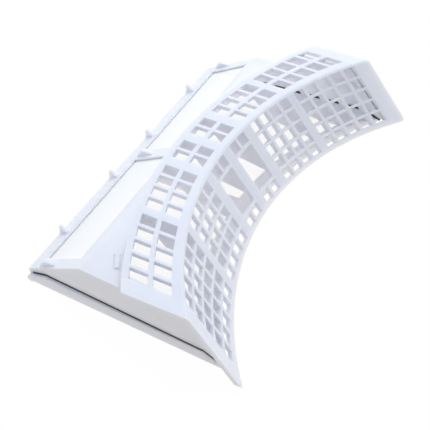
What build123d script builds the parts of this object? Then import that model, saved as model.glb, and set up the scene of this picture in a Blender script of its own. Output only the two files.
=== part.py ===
from build123d import *
from math import atan2, cos, degrees, hypot, sin, sqrt
import os

os.makedirs("parts", exist_ok=True)

# Tumble dryer lint filter, closed, lying on its flat lower half.
# X runs along the hinge, Z is up and the grille faces -Y.
# Depths are measured from the hinge edge towards the grille.
depth = 186.0
rear_y = depth / 2
hinge_half = 140.0
side_splay = 0.06
wall = 2.2
fit_gap = 0.1

# Hinge along the narrow edge
hinge_depth = 3.2
hinge_z = 3.2
bead_radius = 3.0
pin_radius = 1.5
pin_play = 0.05
lug_radius = 2.7
lug_width = 8.0
lug_play = 0.3
hinge_x = (-105.0, -35.0, 35.0, 105.0)

# Lower half: tray, rim and its two windows
floor_thick = 2.0
rim_z = 10.2
rim_rear_z = 6.0
rim_rise_depth = 16.0
rim_fall = 16.0
rim_end_z = 3.6
tray_lip = 3.0
tray_clear = 2.0
tray_round = 2.5
lower_window_rear = 12.5
lower_front_rail = 17.0
lower_rail = 12.0

# Dark strip between the halves
seal_height = 2.1
seal_recess = 0.25
seal_start = 4.0
seal_play = 0.05

# Upper half: sloping screen frame, level plate and side walls
rail_rear = 0.4
rail_under_z = 6.6
rail_top_z = 10.0
crease_depth = 48.5
plate_z = 36.2
frame_thick = 2.8
plate_thick = 2.4
rail_solid = 5.5
window_rear = 10.6
window_front = 42.6
end_rail = 11.0
strut_width = 12.6

# Screens sit in rebates behind the window edges
screen_thick = 0.5
screen_lap = 2.0
screen_sink = 1.6

# Fins on the upper frame
tooth_x = (-99.0, -28.6, 28.6, 99.0)
tooth_thick = 2.8
tooth_rear = 0.8
tooth_front = 8.4
tooth_rise = 8.2
wedge_rear = 9.0
wedge_peak = 13.5
wedge_front = 25.0
wedge_rise = 5.2
wedge_thick = 3.6

# Catch beside the grille on each side of the plate: a raised tab with a groove around it
catch_x = 125.0
catch_depth = 68.4
catch_angle = 29.0
catch_length = 13.2
catch_width = 3.4
catch_lift = 0.8
groove_width = 1.0
groove_depth = 0.6

# Grille: level band and sloping face, both following arcs
arch_overhang = 20.0
band_z = 53.0
band_thick = 3.4
band_rear_mid = 50.5
band_rear_radius = 317.0
arch_mid = 88.7
arch_radius = 258.0
face_run = 39.5
face_fall = 49.5
face_thick = 4.0
face_mid_z = 5.5
face_tip_z = 2.5
arch_round = 3.5
tip_round = 3.5

# Grille holes
hole = 9.3
bar = 2.8
centre_bar = 10.0
inner_bar = 10.0
outer_bar = 7.6
band_hole_rear_mid = 55.9
band_hole_rear_radius = 317.0
band_hole_front_mid = 82.4
band_hole_front_radius = 275.0
band_split = (0.435, 0.565)
row_first = 6.2
row_pitch = 11.7
finger_round = 2.0

# Skirt that carries the rear edge of the grille, and the ribs inside the grille
skirt_inset = 0.3
skirt_thick = 1.6
skirt_lean = 0.35
rib_thick = 2.0
rib_gap = 0.8
rib_rear_z = 39.0
rib_knee_run = 9.0
rib_knee_z = 36.0
rib_deep_run = 21.0
rib_deep_z = 22.0
rib_front_z = 15.0


def y_at(s):
    return rear_y - s


def half_width(s):
    return hinge_half + side_splay * s


def sagitta(x, radius):
    return radius - sqrt(radius ** 2 - x ** 2)


def across(profile, half, x=0.0):
    """Solid from a (depth, Z) outline, reaching half to either side of x."""
    outline = Polyline(*[(y_at(s), z) for s, z in profile], close=True)
    return Pos(x, 0, 0) * extrude(Plane.YZ * make_face(outline), half, both=True)


def upright(face, z0, z1):
    """Solid standing on a plan outline between two heights."""
    return Pos(0, 0, z0) * extrude(face, z1 - z0)


def plan(points):
    return make_face(Polyline(*[(x, y_at(s)) for x, s in points], close=True))


def bag_plan(s0, s1, inset=0.0):
    w0 = half_width(s0) - inset
    w1 = half_width(s1) - inset
    return plan([(-w0, s0), (w0, s0), (w1, s1), (-w1, s1)])


def arc_strip(mid0, radius0, mid1, radius1, half):
    """Plan outline between two arcs, cut off square at either end."""
    ends0 = mid0 + sagitta(half, radius0)
    ends1 = mid1 + sagitta(half, radius1)
    edges = [
        ThreePointArc((-half, y_at(ends0)), (0, y_at(mid0)), (half, y_at(ends0))),
        Line((half, y_at(ends0)), (half, y_at(ends1))),
        ThreePointArc((half, y_at(ends1)), (0, y_at(mid1)), (-half, y_at(ends1))),
        Line((-half, y_at(ends1)), (-half, y_at(ends0))),
    ]
    return make_face(edges)


def ahead_of(mid, radius, half):
    """Plan outline of everything on the grille side of an arc."""
    ends = mid + sagitta(half, radius)
    far = ends + 2 * depth
    edges = [
        ThreePointArc((-half, y_at(ends)), (0, y_at(mid)), (half, y_at(ends))),
        Line((half, y_at(ends)), (half, y_at(far))),
        Line((half, y_at(far)), (-half, y_at(far))),
        Line((-half, y_at(far)), (-half, y_at(ends))),
    ]
    return make_face(edges)


def tray_plan(s_rear, inset=0.0, lip=0.0):
    """Plan outline of the tray, with a lip that is widest at the hinge."""
    rear = half_width(s_rear) - inset + lip
    corner = half_width(tray_corner_depth) - inset
    mid = tray_front_mid - inset
    s_corner = mid + sagitta(corner, arch_radius)
    edges = [
        Line((-rear, y_at(s_rear)), (rear, y_at(s_rear))),
        Line((rear, y_at(s_rear)), (corner, y_at(s_corner))),
        ThreePointArc((corner, y_at(s_corner)), (0, y_at(mid)), (-corner, y_at(s_corner))),
        Line((-corner, y_at(s_corner)), (-rear, y_at(s_rear))),
    ]
    return make_face(edges)


def both_sides(solid):
    return solid + mirror(solid, Plane.YZ)


def along_x(radius, length, x=0.0):
    return Pos(x, y_at(hinge_depth), hinge_z) * Rot(0, 90, 0) * Cylinder(radius, length)


# The tray stops short of the back of the sloping face and follows its arc
arch_half = hinge_half + arch_overhang
face_length = hypot(face_run, face_fall)
face_step = face_thick * face_length / face_fall
tray_front_mid = arch_mid + (band_z - rim_z) * face_run / face_fall - face_step - tray_clear
tray_corner_depth = tray_front_mid + sagitta(half_width(depth), arch_radius)

# Lower half
rim_fall_depth = tray_corner_depth - rim_fall
rim_line = [
    (hinge_depth, rim_rear_z),
    (rim_rise_depth, rim_z),
    (rim_fall_depth, rim_z),
    (tray_corner_depth, rim_end_z),
]


def rim_at(s):
    for (s0, z0), (s1, z1) in zip(rim_line, rim_line[1:]):
        if s0 <= s <= s1:
            return z0 + (z1 - z0) * (s - s0) / (s1 - s0)
    return rim_end_z


above_rim = [(-depth, rim_rear_z)] + rim_line + [(2 * depth, rim_end_z), (2 * depth, depth), (-depth, depth)]

tray = upright(tray_plan(hinge_depth, lip=tray_lip), 0, rim_z)
tray = fillet(tray.edges().group_by(Axis.Z)[0], tray_round)
tray -= upright(tray_plan(hinge_depth + wall, wall), floor_thick, rim_z + 1)
tray -= across(above_rim, depth)
tray += along_x(bead_radius, 2 * (hinge_half + tray_lip))

slot_reach = bead_radius + lug_play
for x in hinge_x:
    slot_depth = 2 * slot_reach + hinge_depth
    slot = Box(lug_width + 2 * lug_play, slot_depth, depth)
    slot_y = y_at(hinge_depth + slot_reach - slot_depth / 2)
    tray -= Pos(x, slot_y, hinge_z - slot_reach + depth / 2) * slot
    tray += along_x(pin_radius, lug_width + 2 * wall, x)


def lower_window(grow):
    side = half_width(lower_window_rear) - lower_rail + grow
    inner = strut_width / 2 - grow
    rear = lower_window_rear - grow
    mid = tray_front_mid - lower_front_rail + grow
    s_in = mid + sagitta(inner, arch_radius)
    s_mid = mid + sagitta((inner + side) / 2, arch_radius)
    s_out = mid + sagitta(side, arch_radius)
    edges = [
        Line((inner, y_at(rear)), (side, y_at(rear))),
        Line((side, y_at(rear)), (side, y_at(s_out))),
        ThreePointArc((side, y_at(s_out)), ((inner + side) / 2, y_at(s_mid)), (inner, y_at(s_in))),
        Line((inner, y_at(s_in)), (inner, y_at(rear))),
    ]
    return make_face(edges)


lower_ledge_z = floor_thick - 2 * screen_thick
tray -= both_sides(upright(lower_window(0), -1, floor_thick + 1))
tray -= both_sides(upright(lower_window(screen_lap), lower_ledge_z, floor_thick + 1))
lower_shell = tray
lower_screen_right = upright(lower_window(screen_lap - fit_gap), lower_ledge_z, lower_ledge_z + screen_thick)
lower_screen_left = mirror(lower_screen_right, Plane.YZ)

# Dark strips on the end rims
seal_stations = [seal_start, rim_rise_depth, rim_fall_depth, tray_corner_depth]
seal_profile = [(s, rim_at(s)) for s in seal_stations]
seal_profile += [(s, rim_at(s) + seal_height) for s in reversed(seal_stations)]
seal_ring = upright(bag_plan(0, depth, seal_recess), 0, depth) - upright(bag_plan(-1, depth + 1, wall), -1, depth + 1)
seals = seal_ring & across(seal_profile, depth)
seal_left, seal_right = seals.solids().sort_by(Axis.X)

# Upper half
frame_slope = (plate_z - rail_top_z) / crease_depth
frame_angle = atan2(plate_z - rail_top_z, crease_depth)
frame_drop = frame_thick / cos(frame_angle)
inner_crease = crease_depth + (frame_drop - plate_thick) / frame_slope


def frame_z(s):
    return rail_top_z + frame_slope * s


join = seal_height + seal_play
hood_profile = [
    (rail_rear, rail_under_z),
    (rail_rear, frame_z(rail_rear)),
    (crease_depth, plate_z),
    (depth, plate_z),
    (depth, rim_end_z + join),
    (tray_corner_depth, rim_end_z + join),
    (rim_fall_depth, rim_z + join),
    (rim_rise_depth, rim_z + join),
    (seal_start - fit_gap, rim_at(seal_start) + join),
    (hinge_depth, rail_under_z),
]
hollow_profile = [
    (rail_solid, -depth),
    (rail_solid, frame_z(rail_solid) - frame_drop),
    (inner_crease, plate_z - plate_thick),
    (2 * depth, plate_z - plate_thick),
    (2 * depth, -depth),
]
hood = across(hood_profile, depth) & upright(bag_plan(0, depth), 0, depth)
hood -= across(hollow_profile, depth) & upright(bag_plan(-1, depth + 1, wall), -1, depth)

# Skirt under the rear edge of the grille, leaning back to the crease, and end walls up to its band
band_under = band_z - band_thick
skirt_height = band_under - plate_z + plate_thick
skirt_mid = band_rear_mid + skirt_inset
skirt_half = half_width(depth / 2) - wall / 2
skirt_end = skirt_mid + sagitta(skirt_half, band_rear_radius)
skirt_foot = skirt_lean * skirt_height
throat_arc = ahead_of(skirt_mid + skirt_thick - skirt_foot, band_rear_radius, skirt_half)
throat = throat_arc & bag_plan(crease_depth, depth + 1, wall)
hood -= upright(throat, plate_z - 2 * plate_thick, plate_z + 1)
skirt = arc_strip(skirt_mid, band_rear_radius, skirt_mid + skirt_thick, band_rear_radius, skirt_half)
hood += extrude(Pos(0, 0, band_under) * skirt, hypot(skirt_height, skirt_foot), dir=(0, skirt_foot, -skirt_height))
end_profile = [
    (skirt_end - skirt_foot, plate_z - plate_thick),
    (skirt_end, band_under),
    (depth, band_under),
    (depth, plate_z - plate_thick),
]
end_walls = across(end_profile, depth) & upright(bag_plan(0, depth), 0, depth)
end_walls -= upright(bag_plan(-1, depth + 1, wall), 0, depth)
hood += end_walls

# The walls stop against the back of the sloping face
face_dir = (0, -face_run, -face_fall)
down_reach = 1.5 * face_length
behind_face = Pos(0, 0, band_z) * ahead_of(arch_mid - face_step, arch_radius, arch_half + wall)
hood -= extrude(behind_face, down_reach, dir=face_dir)

# Windows and screen rebates, square to the sloping frame
frame_plane = Plane(
    origin=(0, y_at(0), rail_top_z),
    x_dir=(1, 0, 0),
    z_dir=(0, sin(frame_angle), cos(frame_angle)),
)


def upper_window(grow):
    inner = strut_width / 2 - grow
    rear = window_rear - grow
    front = window_front + grow
    points = [
        (inner, rear),
        (half_width(rear) - end_rail + grow, rear),
        (half_width(front) - end_rail + grow, front),
        (inner, front),
    ]
    return make_face(Polyline(*[(x, -s / cos(frame_angle)) for x, s in points], close=True))


def in_frame(face, z0, z1):
    return frame_plane * upright(face, z0, z1)


hood -= both_sides(in_frame(upper_window(0), -2 * frame_thick, frame_thick))
hood -= both_sides(in_frame(upper_window(screen_lap), -2 * frame_thick, -screen_sink))
screen = upper_window(screen_lap - fit_gap)
upper_screen_right = in_frame(screen, -screen_sink - screen_thick, -screen_sink)
upper_screen_left = mirror(upper_screen_right, Plane.YZ)

# Fins
for x in tooth_x:
    tooth = [
        (tooth_rear, frame_z(tooth_rear) - 1),
        (tooth_rear, frame_z(tooth_rear) + tooth_rise),
        (tooth_rear + 1, frame_z(tooth_rear) + tooth_rise),
        (tooth_front, frame_z(tooth_front)),
        (tooth_front, frame_z(tooth_front) - 1),
    ]
    hood += across(tooth, tooth_thick / 2, x)
wedge_x = half_width(wedge_peak) - wedge_thick
for x in (-wedge_x, 0, wedge_x):
    wedge = [
        (wedge_rear, frame_z(wedge_rear) - 1),
        (wedge_peak, frame_z(wedge_peak) + wedge_rise),
        (wedge_peak + 1.5, frame_z(wedge_peak + 1.5) + wedge_rise),
        (wedge_front, frame_z(wedge_front)),
        (wedge_front, frame_z(wedge_front) - 1),
    ]
    hood += across(wedge, wedge_thick / 2, x)

# Catches: a U-shaped groove around a raised tab
groove_length = catch_length + groove_width
groove = Box(groove_length, catch_width + 2 * groove_width, 2 * groove_depth)
groove -= Pos(-groove_width / 2, 0, 0) * Box(catch_length, catch_width, 2 * groove_depth)
tab = Pos(catch_length / 4 - groove_width / 2, 0, 0) * Box(catch_length / 2, catch_width, 2 * catch_lift)
catch_place = Pos(catch_x, y_at(catch_depth), plate_z) * Rot(0, 0, -catch_angle)
hood -= both_sides(catch_place * groove)
hood += both_sides(catch_place * tab)

# Hinge lugs turning on the pins of the lower half
for x in hinge_x:
    web_top = rail_top_z
    web = Box(lug_width, 2 * lug_radius, web_top - hinge_z)
    lug = along_x(lug_radius, lug_width, x) + Pos(x, y_at(hinge_depth), (web_top + hinge_z) / 2) * web
    hood += lug - along_x(pin_radius + pin_play, 2 * lug_width, x)
upper_shell = hood

# Grille
band = upright(arc_strip(band_rear_mid, band_rear_radius, arch_mid, arch_radius, arch_half), band_under, band_z)
crescent = Pos(0, 0, band_z) * arc_strip(arch_mid - face_step, arch_radius, arch_mid, arch_radius, arch_half)
face_reach = (band_z - face_tip_z) / face_fall * face_length
shell = band + extrude(crescent, face_reach, dir=face_dir)
free_edge = [
    ThreePointArc((-arch_half, face_tip_z), (0, face_mid_z), (arch_half, face_tip_z)),
    Line((arch_half, face_tip_z), (arch_half, -depth)),
    Line((arch_half, -depth), (-arch_half, -depth)),
    Line((-arch_half, -depth), (-arch_half, face_tip_z)),
]
shell -= extrude(Plane.XZ * make_face(free_edge), 2 * depth, both=True)


def is_arch_edge(edge):
    level = abs(edge.position_at(0.5).Z - band_z) < 0.01
    return level and abs(edge.position_at(0.5).Y - y_at(arch_mid)) < 0.01


def is_tip_edge(edge):
    middle = edge.position_at(0.5)
    return abs(abs(middle.X) - arch_half) < 0.01 and abs(middle.Z - face_tip_z) < 0.01


shell = fillet([e for e in shell.edges() if is_arch_edge(e)], arch_round)
shell = fillet([e for e in shell.edges() if is_tip_edge(e)], tip_round)

columns = []
x = centre_bar / 2
for count, gap in ((2, inner_bar), (4, outer_bar), (5, 0)):
    for i in range(count):
        columns.append((x, x + hole))
        x += hole + bar
    x += gap - bar
columns += [(-x1, -x0) for x0, x1 in columns]


def band_line(x, part):
    rear = band_hole_rear_mid + sagitta(x, band_hole_rear_radius)
    front = band_hole_front_mid + sagitta(x, band_hole_front_radius)
    return rear + part * (front - rear)


def band_hole(x0, x1, part0, part1):
    corners = [
        (x0, band_line(x0, part0)),
        (x1, band_line(x1, part0)),
        (x1, band_line(x1, part1)),
        (x0, band_line(x0, part1)),
    ]
    return upright(plan(corners), band_z - 2 * band_thick, band_z + band_thick)


run = face_run / face_length
fall = face_fall / face_length


def face_hole(x0, x1, v0, v1, rounding=0.0):
    """Cutter square to the face, its sides in planes across the arch."""
    xm = (x0 + x1) / 2
    vm = (v0 + v1) / 2
    place = Plane(
        origin=(xm, y_at(arch_mid + sagitta(xm, arch_radius) + vm * run), band_z - vm * fall),
        x_dir=(1, 0, 0),
        z_dir=(0, -fall, run),
    )
    corners = []
    for x, v in ((x0, v0), (x1, v0), (x1, v1), (x0, v1)):
        lag = sagitta(x, arch_radius) - sagitta(xm, arch_radius)
        corners.append((x - xm, vm - v - lag * run))
    face = make_face(Polyline(*corners, close=True))
    if rounding:
        face = fillet(face.vertices(), rounding)
    return place * extrude(face, 4 * face_thick, both=True)


rows = []
for i in range(5):
    middle = row_first + i * row_pitch
    rows.append((middle - hole / 2, middle + hole / 2))
finger_edge = centre_bar / 2 + 2 * hole + bar
cutters = []
for x0, x1 in columns:
    cutters.append(band_hole(x0, x1, 0, band_split[0]))
    cutters.append(band_hole(x0, x1, band_split[1], 1))
    in_finger = max(abs(x0), abs(x1)) < finger_edge + bar / 2
    for i, (v0, v1) in enumerate(rows):
        if not (in_finger and 0 < i < 4):
            cutters.append(face_hole(x0, x1, v0, v1))
for x0, x1 in ((centre_bar / 2, finger_edge), (-finger_edge, -centre_bar / 2)):
    cutters.append(face_hole(x0, x1, rows[1][0], rows[3][1], finger_round))
shell = shell - cutters

rib_1 = finger_edge + inner_bar / 2
rib_2 = rib_1 + inner_bar / 2 + 4 * hole + 3 * bar + outer_bar / 2
for x in (-rib_2, -rib_1, 0, rib_1, rib_2):
    rear = skirt_mid + skirt_thick + sagitta(x, band_rear_radius) + rib_gap
    front = arch_mid + sagitta(x, arch_radius) - face_step / 2
    rib = [
        (rear, band_under + band_thick / 2),
        (front, band_under + band_thick / 2),
        (front + (band_z - rib_front_z) * face_run / face_fall, rib_front_z),
        (rear + rib_deep_run, rib_deep_z),
        (rear + rib_knee_run, rib_knee_z),
        (rear - skirt_lean * (band_under - rib_rear_z), rib_rear_z),
        (rear, band_under),
    ]
    shell += across(rib, rib_thick / 2, x)
grille = shell

nodes = {
    "upper_shell": upper_shell,
    "lower_shell": lower_shell,
    "grille": grille,
    "upper_screen_left": upper_screen_left,
    "upper_screen_right": upper_screen_right,
    "lower_screen_left": lower_screen_left,
    "lower_screen_right": lower_screen_right,
    "seal_left": seal_left,
    "seal_right": seal_right,
}

# The origin is the middle of the base, between the hinge bead and the ends of the grille
back_y = lower_shell.bounding_box().max.Y
front_y = grille.bounding_box().min.Y
to_origin = Pos(0, -(back_y + front_y) / 2, 0)
for name, solid in nodes.items():
    export_step(to_origin * solid, f"parts/{name}.step")
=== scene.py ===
import math

import bpy
import numpy as np
from mathutils import Matrix, Vector


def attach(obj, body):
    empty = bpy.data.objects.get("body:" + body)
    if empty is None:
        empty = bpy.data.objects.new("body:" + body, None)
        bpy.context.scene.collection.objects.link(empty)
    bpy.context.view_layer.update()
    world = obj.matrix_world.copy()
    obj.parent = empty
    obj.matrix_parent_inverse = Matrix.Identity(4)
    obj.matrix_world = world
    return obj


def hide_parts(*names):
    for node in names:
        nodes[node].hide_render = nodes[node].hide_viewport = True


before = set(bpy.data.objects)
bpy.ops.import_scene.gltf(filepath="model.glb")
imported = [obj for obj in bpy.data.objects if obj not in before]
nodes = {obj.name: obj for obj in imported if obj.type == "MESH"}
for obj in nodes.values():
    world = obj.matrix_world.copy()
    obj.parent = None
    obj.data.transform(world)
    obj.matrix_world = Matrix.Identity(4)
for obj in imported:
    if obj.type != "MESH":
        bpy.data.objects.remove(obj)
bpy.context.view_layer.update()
scene = bpy.context.scene
scene.view_settings.view_transform = "Standard"

# Camera fitted to the photograph, which is 430 by 430 pixels
CAMERA_AT = (-0.49689, -0.24407, 0.52216)
CAMERA_RIGHT = Vector((0.45966, -0.88809, 0.00340))
CAMERA_UP = Vector((0.61790, 0.32256, 0.71705))
FOCAL_PIXELS = 955.18
IMAGE_PIXELS = 430
SENSOR_MM = 36.0

# Gauze weave: pitch in metres, and the share of the pitch that a thread covers
FINE_PITCH, FINE_SHARE = 0.0005, 0.72
OPEN_PITCH, OPEN_SHARE = 0.0012, 0.06
THREAD_BLUR = 0.08

# Gauze sheets, metres: hollow in the middle, size of the mesh, width taken as the rear edge
GAUZE_SAG = 0.0006
GAUZE_STEP = 0.004
EDGE_TOLERANCE = 0.001

# Colours
SHELL_DEEP, SHELL_PALE = (0.79, 0.82, 0.925, 1), (0.82, 0.845, 0.94, 1)
GRILLE_DEEP, GRILLE_PALE = (0.79, 0.817, 0.925, 1), (0.82, 0.842, 0.94, 1)
GAUZE_DEEP, GAUZE_PALE = (0.985, 0.98, 0.965, 1), (0.995, 0.99, 0.98, 1)
SEAL_DEEP, SEAL_PALE = (0.030, 0.032, 0.042, 1), (0.048, 0.050, 0.062, 1)

# Studio light: soft dome and floor glow, both weaker on the camera's side than at the rear
REARWARD = (0.9, 0.44, 0.0)
DOME_COLOUR = (0.90, 0.94, 1.0, 1)
DOME_FRONT, DOME_REAR = 0.35, 1.1
GLOW_COLOUR = (1, 0.93, 0.84, 1)
GLOW_FRONT, GLOW_REAR = 0.8, 1.08
GLOW_RISES_FROM, GLOW_RISES_TO = -0.2, -0.02
LAMP_COLOUR = (0.94, 0.97, 1.0)

# Floor: half width and drop below the part in metres, strength that the camera sees, share that glows
FLOOR_REACH = 4.0
FLOOR_DROP = 0.0002
FLOOR_WHITE = 1.03
FLOOR_GLOW_SHARE = 0.92


def link(tree, out_node, out_name, in_node, in_name):
    tree.links.new(out_node.outputs[out_name], in_node.inputs[in_name])


def new_material(name):
    material = bpy.data.materials.new(name)
    material.use_nodes = True
    tree = material.node_tree
    return material, tree, tree.nodes["Principled BSDF"]


def noise(tree, vector, scale, detail=2.0, roughness=0.5):
    node = tree.nodes.new("ShaderNodeTexNoise")
    node.inputs["Scale"].default_value = scale
    node.inputs["Detail"].default_value = detail
    node.inputs["Roughness"].default_value = roughness
    tree.links.new(vector, node.inputs["Vector"])
    return node.outputs["Fac"]


def blend(tree, source, low, deep, high, pale):
    """Colour that goes from deep at the value low to pale at the value high."""
    node = tree.nodes.new("ShaderNodeValToRGB")
    first, last = node.color_ramp.elements
    first.position, last.position = low, high
    first.color, last.color = deep, pale
    tree.links.new(source, node.inputs["Fac"])
    return node


def map_range(tree, source, start, end, low, high):
    """Value that goes from low to high while the source goes from start to end."""
    node = tree.nodes.new("ShaderNodeMapRange")
    node.inputs["From Min"].default_value = start
    node.inputs["From Max"].default_value = end
    node.inputs["To Min"].default_value = low
    node.inputs["To Max"].default_value = high
    tree.links.new(source, node.inputs["Value"])
    return node


def uneven_roughness(tree, source, low, high, shader):
    rough = map_range(tree, source, 0.3, 0.7, low, high)
    link(tree, rough, "Result", shader, "Roughness")


def bump(tree, height, strength, distance, shader):
    node = tree.nodes.new("ShaderNodeBump")
    node.inputs["Strength"].default_value = strength
    node.inputs["Distance"].default_value = distance
    tree.links.new(height, node.inputs["Height"])
    link(tree, node, "Normal", shader, "Normal")


def moulded_plastic(name, deep, pale):
    """White moulded plastic: faint cloudy tint, uneven sheen and a fine spark-eroded grain."""
    material, tree, shader = new_material(name)
    place = tree.nodes.new("ShaderNodeTexCoord").outputs["Object"]
    cloud = noise(tree, place, scale=28.0, detail=4.0, roughness=0.6)
    tint = blend(tree, cloud, 0.32, deep, 0.68, pale)
    link(tree, tint, "Color", shader, "Base Color")
    sheen = noise(tree, place, scale=60.0, detail=3.0)
    uneven_roughness(tree, sheen, 0.40, 0.52, shader)
    grain = noise(tree, place, scale=1700.0)
    bump(tree, grain, strength=0.10, distance=0.0002, shader=shader)
    shader.inputs["Specular IOR Level"].default_value = 0.35
    shader.inputs["Subsurface Weight"].default_value = 0.8
    shader.inputs["Subsurface Radius"].default_value = (1.0, 1.0, 1.0)
    shader.inputs["Subsurface Scale"].default_value = 0.005
    return material


def gauze_cloth(name, pitch, share):
    """Plain weave of white thread with open gaps, laid out by the sheet's own UV map in metres."""
    material, tree, shader = new_material(name)
    place = tree.nodes.new("ShaderNodeUVMap")
    place.uv_map = "weave"
    apart = tree.nodes.new("ShaderNodeSeparateXYZ")
    link(tree, place, "UV", apart, "Vector")

    def calculate(operation, *values):
        node = tree.nodes.new("ShaderNodeMath")
        node.operation = operation
        for socket, value in zip(node.inputs, values):
            if isinstance(value, float):
                socket.default_value = value
            else:
                tree.links.new(value, socket)
        return node.outputs["Value"]

    def thread(axis):
        """1 in the middle of a thread and 0 midway between two, with the angle that it follows."""
        angle = calculate("MULTIPLY", apart.outputs[axis], 2 * math.pi / pitch)
        return calculate("MULTIPLY_ADD", calculate("COSINE", angle), 0.5, 0.5), angle

    warp, warp_angle = thread("X")
    weft, weft_angle = thread("Y")
    highest = calculate("MAXIMUM", warp, weft)
    thread_edge = 0.5 + 0.5 * math.cos(math.pi * share)
    inside = calculate("SUBTRACT", highest, thread_edge - THREAD_BLUR)
    cover = calculate("MULTIPLY", inside, 1 / (2 * THREAD_BLUR))
    cover.node.use_clamp = True
    tree.links.new(cover, shader.inputs["Alpha"])

    half_warp = calculate("SINE", calculate("MULTIPLY", warp_angle, 0.5))
    half_weft = calculate("SINE", calculate("MULTIPLY", weft_angle, 0.5))
    over_and_under = calculate("MULTIPLY", half_warp, half_weft)
    height = calculate("MULTIPLY_ADD", over_and_under, 0.3, highest)
    bump(tree, height, strength=0.4, distance=0.00003, shader=shader)

    cloud = noise(tree, place.outputs["UV"], scale=40.0, detail=3.0)
    tint = blend(tree, cloud, 0.3, GAUZE_DEEP, 0.7, GAUZE_PALE)
    link(tree, tint, "Color", shader, "Base Color")
    shader.inputs["Roughness"].default_value = 0.7
    shader.inputs["Sheen Weight"].default_value = 0.15
    shader.inputs["Specular IOR Level"].default_value = 0.1
    return material


def dark_seal(name):
    """Matt dark strip with a fine grain."""
    material, tree, shader = new_material(name)
    place = tree.nodes.new("ShaderNodeTexCoord").outputs["Object"]
    cloud = noise(tree, place, scale=90.0, detail=3.0)
    tint = blend(tree, cloud, 0.3, SEAL_DEEP, 0.7, SEAL_PALE)
    link(tree, tint, "Color", shader, "Base Color")
    uneven_roughness(tree, cloud, 0.62, 0.8, shader)
    grain = noise(tree, place, scale=2500.0)
    bump(tree, grain, strength=0.2, distance=0.0002, shader=shader)
    return material


def dress(obj, material):
    obj.data.materials.clear()
    obj.data.materials.append(material)


shell_white = moulded_plastic("shell_white", SHELL_DEEP, SHELL_PALE)
grille_white = moulded_plastic("grille_white", GRILLE_DEEP, GRILLE_PALE)
seal_dark = dark_seal("seal_dark")
fine_gauze = gauze_cloth("fine_gauze", FINE_PITCH, FINE_SHARE)
open_gauze = gauze_cloth("open_gauze", OPEN_PITCH, OPEN_SHARE)
for name in ("upper_shell", "lower_shell"):
    dress(nodes[name], shell_white)
dress(nodes["grille"], grille_white)
for name in ("seal_left", "seal_right"):
    dress(nodes[name], seal_dark)


def screen_slope(node):
    """Angle at which a CAD screen falls towards the hinge, from its largest face."""
    widest = max(nodes[node].data.polygons, key=lambda face: face.area)
    return math.atan2(abs(widest.normal.y), abs(widest.normal.z))


def gauze_sheet(node, cloth, body):
    """Taut sheet of gauze in the window of a CAD screen, slightly hollow between its edges."""
    slope = screen_slope(node)
    along = Vector((0, math.cos(slope), -math.sin(slope)))
    normal = Vector((0, math.sin(slope), math.cos(slope)))
    vertices = [vertex.co for vertex in nodes[node].data.vertices]
    corners = {(round(co.x, 5), round(co.dot(along), 5)) for co in vertices}
    heights = [co.dot(normal) for co in vertices]
    level = (min(heights) + max(heights)) / 2

    # Outline on the right-hand side: straight rear edge, front edge as x against t
    side = 1 if sum(x for x, _ in corners) > 0 else -1
    outline = sorted((side * x, t) for x, t in corners)
    rear = max(t for _, t in outline)
    front = [(x, t) for x, t in outline if t < rear - EDGE_TOLERANCE]
    front_x = [x for x, _ in front]
    front_t = [t for _, t in front]
    inner = outline[0][0]
    outer_rear = max(x for x, t in outline if t >= rear - EDGE_TOLERANCE)
    outer_front = front_x[-1]
    width = outer_front - inner
    length = rear - min(front_t)

    columns = max(2, round(width / GAUZE_STEP))
    rows = max(2, round(length / GAUZE_STEP))
    points, layout, faces = [], [], []
    for j in range(rows + 1):
        v = j / rows
        for i in range(columns + 1):
            u = i / columns
            x = inner + u * (outer_rear + v * (outer_front - outer_rear) - inner)
            t = rear + v * (float(np.interp(x, front_x, front_t)) - rear)
            dip = GAUZE_SAG * (1 - (2 * u - 1) ** 2) * (1 - (2 * v - 1) ** 2)
            points.append(Vector((side * x, 0, 0)) + along * t + normal * (level - dip))
            layout.append((x, t))
    for j in range(rows):
        for i in range(columns):
            a = j * (columns + 1) + i
            ring = [a, a + columns + 1, a + columns + 2, a + 1]
            faces.append(ring if side > 0 else ring[::-1])

    mesh = bpy.data.meshes.new(node + "_gauze")
    mesh.from_pydata(points, [], faces)
    weave = mesh.uv_layers.new(name="weave")
    for loop in mesh.loops:
        weave.data[loop.index].uv = layout[loop.vertex_index]
    mesh.polygons.foreach_set("use_smooth", [True] * len(mesh.polygons))
    sheet = bpy.data.objects.new(node + "_gauze", mesh)
    scene.collection.objects.link(sheet)
    dress(sheet, cloth)
    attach(sheet, body)
    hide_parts(node)


for end in ("left", "right"):
    gauze_sheet(f"upper_screen_{end}", fine_gauze, "hood")
    gauze_sheet(f"lower_screen_{end}", open_gauze, "tray")


def seen_directly(tree):
    """1 for camera, glossy and transmission rays, 0 for the rays that carry light."""
    path = tree.nodes.new("ShaderNodeLightPath")
    total = path.outputs["Is Camera Ray"]
    for name in ("Is Glossy Ray", "Is Transmission Ray"):
        both = tree.nodes.new("ShaderNodeMath")
        both.operation = "MAXIMUM"
        tree.links.new(total, both.inputs[0])
        tree.links.new(path.outputs[name], both.inputs[1])
        total = both.outputs["Value"]
    return total


def mix_shaders(tree, first, second):
    node = tree.nodes.new("ShaderNodeMixShader")
    tree.links.new(first, node.inputs[1])
    tree.links.new(second, node.inputs[2])
    return node


def rising_rearward(tree, place, start, end, low, high):
    """Strength that rises from the camera's side to the rear, between two distances along the way."""
    along = tree.nodes.new("ShaderNodeVectorMath")
    along.operation = "DOT_PRODUCT"
    along.inputs[1].default_value = REARWARD
    tree.links.new(place, along.inputs[0])
    return map_range(tree, along.outputs["Value"], start, end, low, high).outputs["Result"]


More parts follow.
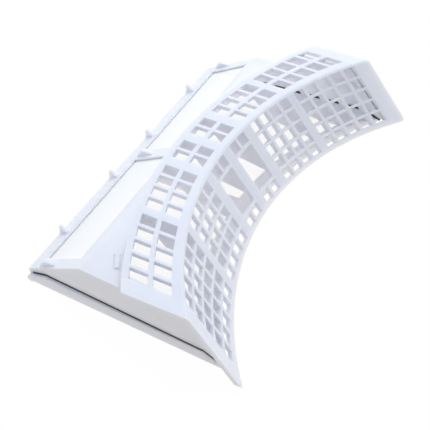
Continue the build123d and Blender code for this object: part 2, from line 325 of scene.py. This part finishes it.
def white_floor():
    """Pale floor that looks plain white and throws a warm glow back at the part."""
    mesh = bpy.data.meshes.new("floor")
    corners = [(-1, -1), (1, -1), (1, 1), (-1, 1)]
    mesh.from_pydata([(x * FLOOR_REACH, y * FLOOR_REACH, 0) for x, y in corners], [], [(0, 1, 2, 3)])
    floor = bpy.data.objects.new("floor", mesh)
    scene.collection.objects.link(floor)
    floor.location.z = -FLOOR_DROP
    material, tree, shader = new_material("floor_white")
    shader.inputs["Base Color"].default_value = (0.9, 0.9, 0.9, 1)
    shader.inputs["Roughness"].default_value = 0.9
    shader.inputs["Specular IOR Level"].default_value = 0.0

    warm = tree.nodes.new("ShaderNodeEmission")
    warm.inputs["Color"].default_value = GLOW_COLOUR
    place = tree.nodes.new("ShaderNodeNewGeometry").outputs["Position"]
    strength = rising_rearward(tree, place, GLOW_RISES_FROM, GLOW_RISES_TO, GLOW_FRONT, GLOW_REAR)
    tree.links.new(strength, warm.inputs["Strength"])
    white = tree.nodes.new("ShaderNodeEmission")
    white.inputs["Strength"].default_value = FLOOR_WHITE
    glow = mix_shaders(tree, warm.outputs["Emission"], white.outputs["Emission"])
    tree.links.new(seen_directly(tree), glow.inputs["Fac"])
    surface = mix_shaders(tree, shader.outputs["BSDF"], glow.outputs["Shader"])
    surface.inputs["Fac"].default_value = FLOOR_GLOW_SHARE
    link(tree, surface, "Shader", tree.nodes["Material Output"], "Surface")
    dress(floor, material)


def studio_world():
    """Soft cool dome that the camera sees as plain white."""
    world = bpy.data.worlds.new("studio")
    world.use_nodes = True
    tree = world.node_tree
    soft = tree.nodes["Background"]
    soft.inputs["Color"].default_value = DOME_COLOUR
    direction = tree.nodes.new("ShaderNodeTexCoord").outputs["Generated"]
    strength = rising_rearward(tree, direction, -1.0, 1.0, DOME_FRONT, DOME_REAR)
    tree.links.new(strength, soft.inputs["Strength"])
    plain = tree.nodes.new("ShaderNodeBackground")
    plain.inputs["Color"].default_value = (1, 1, 1, 1)
    plain.inputs["Strength"].default_value = 1.0
    mix = mix_shaders(tree, soft.outputs["Background"], plain.outputs["Background"])
    tree.links.new(seen_directly(tree), mix.inputs["Fac"])
    link(tree, mix, "Shader", tree.nodes["World Output"], "Surface")
    scene.world = world


def softbox(name, place, size, power):
    """Square lamp that points at the part."""
    lamp = bpy.data.lights.new(name, "AREA")
    lamp.shape = "SQUARE"
    lamp.size = size
    lamp.energy = power
    lamp.color = LAMP_COLOUR
    holder = bpy.data.objects.new(name, lamp)
    holder.location = place
    holder.rotation_mode = "QUATERNION"
    holder.rotation_quaternion = (-Vector(place)).to_track_quat("-Z", "Y")
    scene.collection.objects.link(holder)


def photo_camera():
    data = bpy.data.cameras.new("camera")
    data.sensor_width = SENSOR_MM
    data.lens = FOCAL_PIXELS / IMAGE_PIXELS * SENSOR_MM
    data.clip_start, data.clip_end = 0.01, 20.0
    camera = bpy.data.objects.new("camera", data)
    back = CAMERA_RIGHT.cross(CAMERA_UP)
    turn = Matrix((CAMERA_RIGHT, CAMERA_UP, back)).transposed()
    camera.matrix_world = Matrix.Translation(CAMERA_AT) @ turn.to_4x4()
    scene.collection.objects.link(camera)
    scene.camera = camera


white_floor()
studio_world()
softbox("key", place=(0.60, 0.34, 0.60), size=0.8, power=2.75)
softbox("top", place=(0.05, -0.35, 1.35), size=1.4, power=2.8)
photo_camera()
